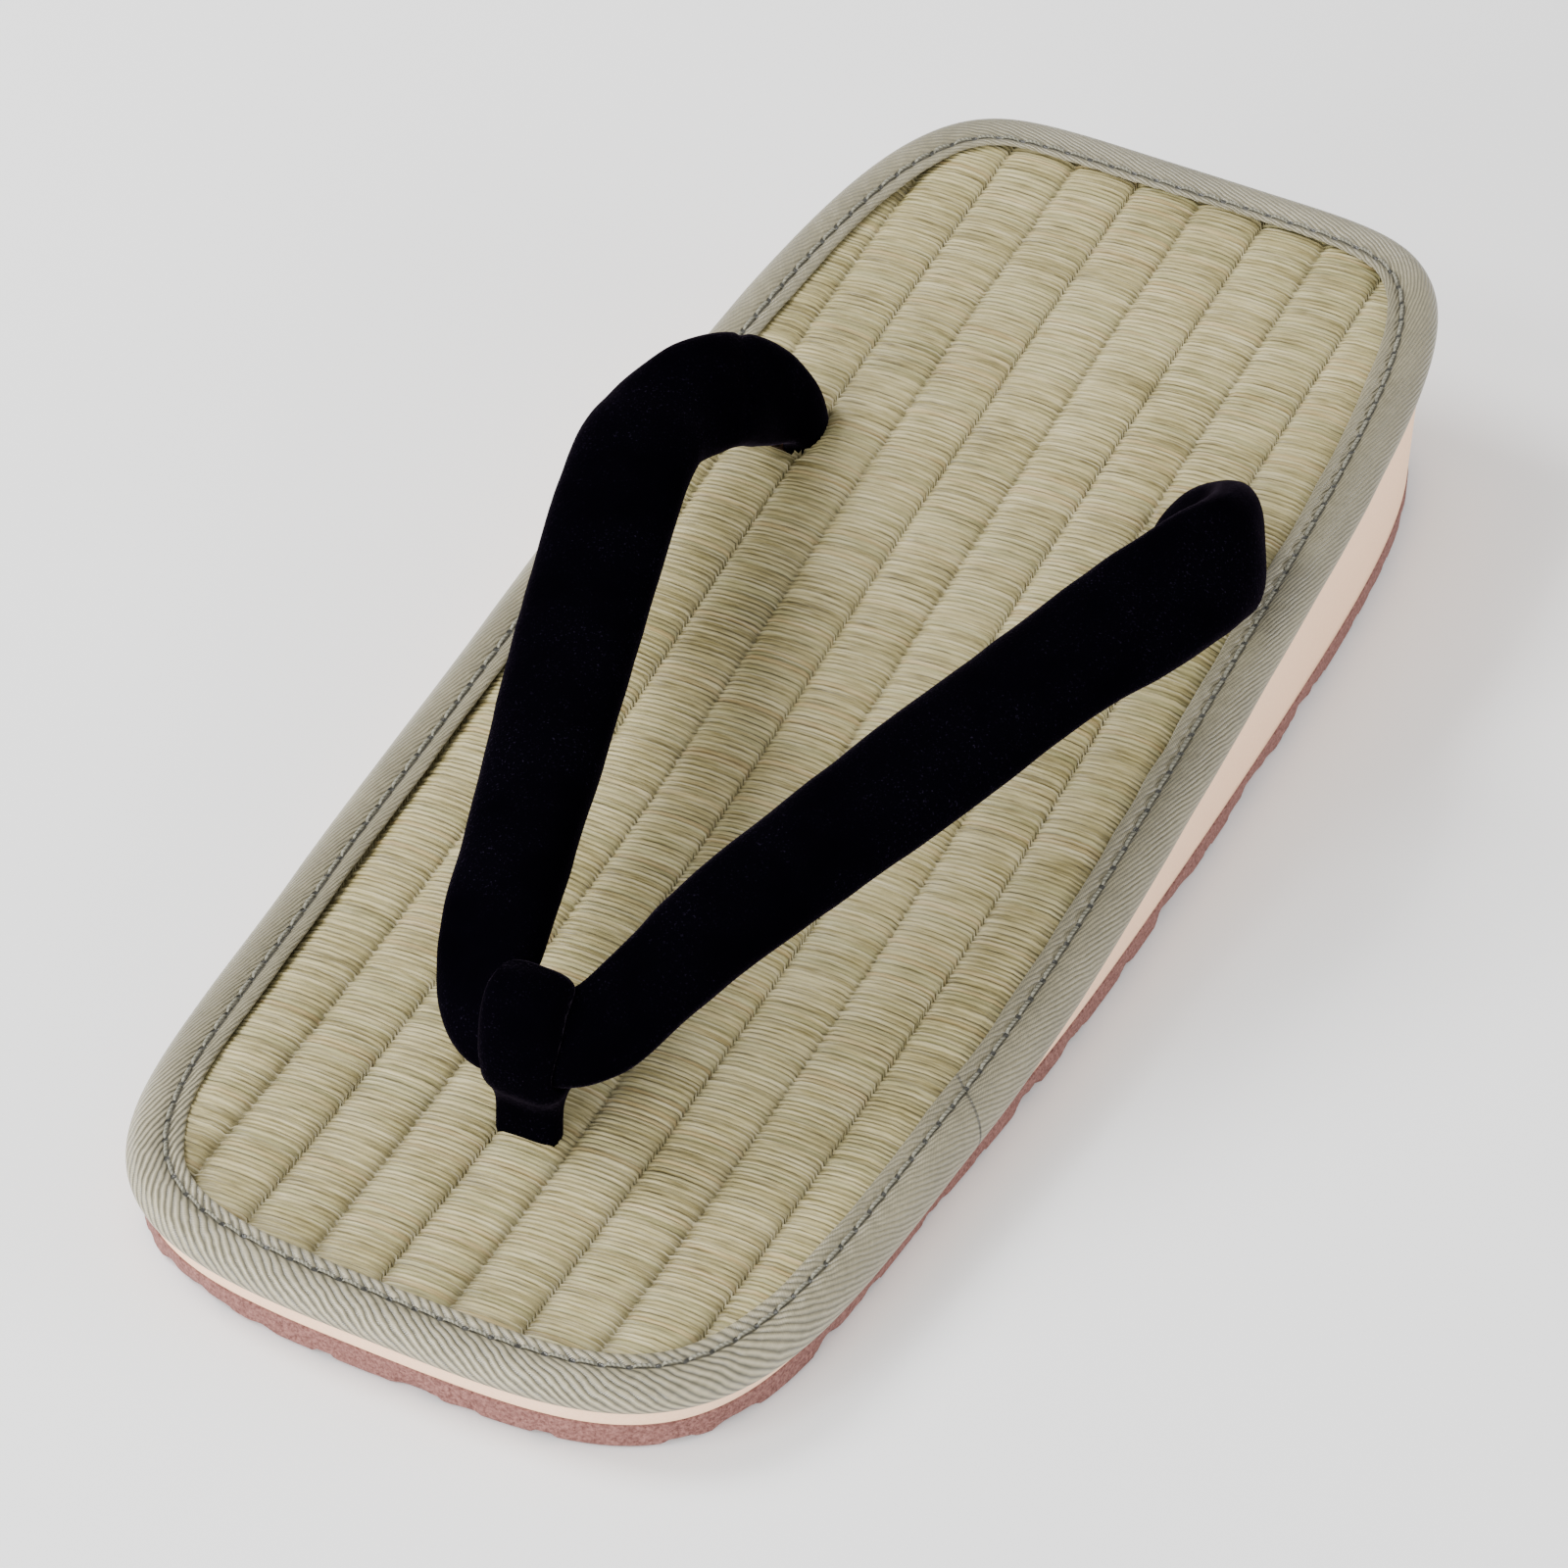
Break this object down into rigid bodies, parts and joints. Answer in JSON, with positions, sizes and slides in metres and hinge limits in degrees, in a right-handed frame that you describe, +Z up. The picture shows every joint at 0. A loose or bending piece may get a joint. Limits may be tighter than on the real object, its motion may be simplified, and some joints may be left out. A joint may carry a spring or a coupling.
{
  "type": "sandal",
  "caption": "Flat sandal with a ridged rush mat in a cloth binding, a foam wedge, a lugged sole and a padded velvet thong.",
  "frame": {"origin": "middle of the sole's bounding box, on the floor", "axes": "+Z up, the toe points along -Y and the heel along +Y, +X is on the right of a viewer who looks from the toe to the heel"},
  "size_m": [0.1122, 0.265, 0.0509],
  "materials": {
    "outsole": "matt, finely grained",
    "midsole": "matt closed-cell foam",
    "rush_mat": "woven rush, slightly waxy",
    "edge_binding": "twill tape with a slight sheen",
    "thong_straps": "velvet",
    "toe_loop": "velvet"
  },
  "bodies": {
    "root": {"outsole": "outsole", "midsole": "midsole", "rush_mat": "rush_mat", "edge_binding": "edge_binding", "thong_straps": "thong_straps", "toe_loop": "toe_loop"}
  },
  "joints": []
}
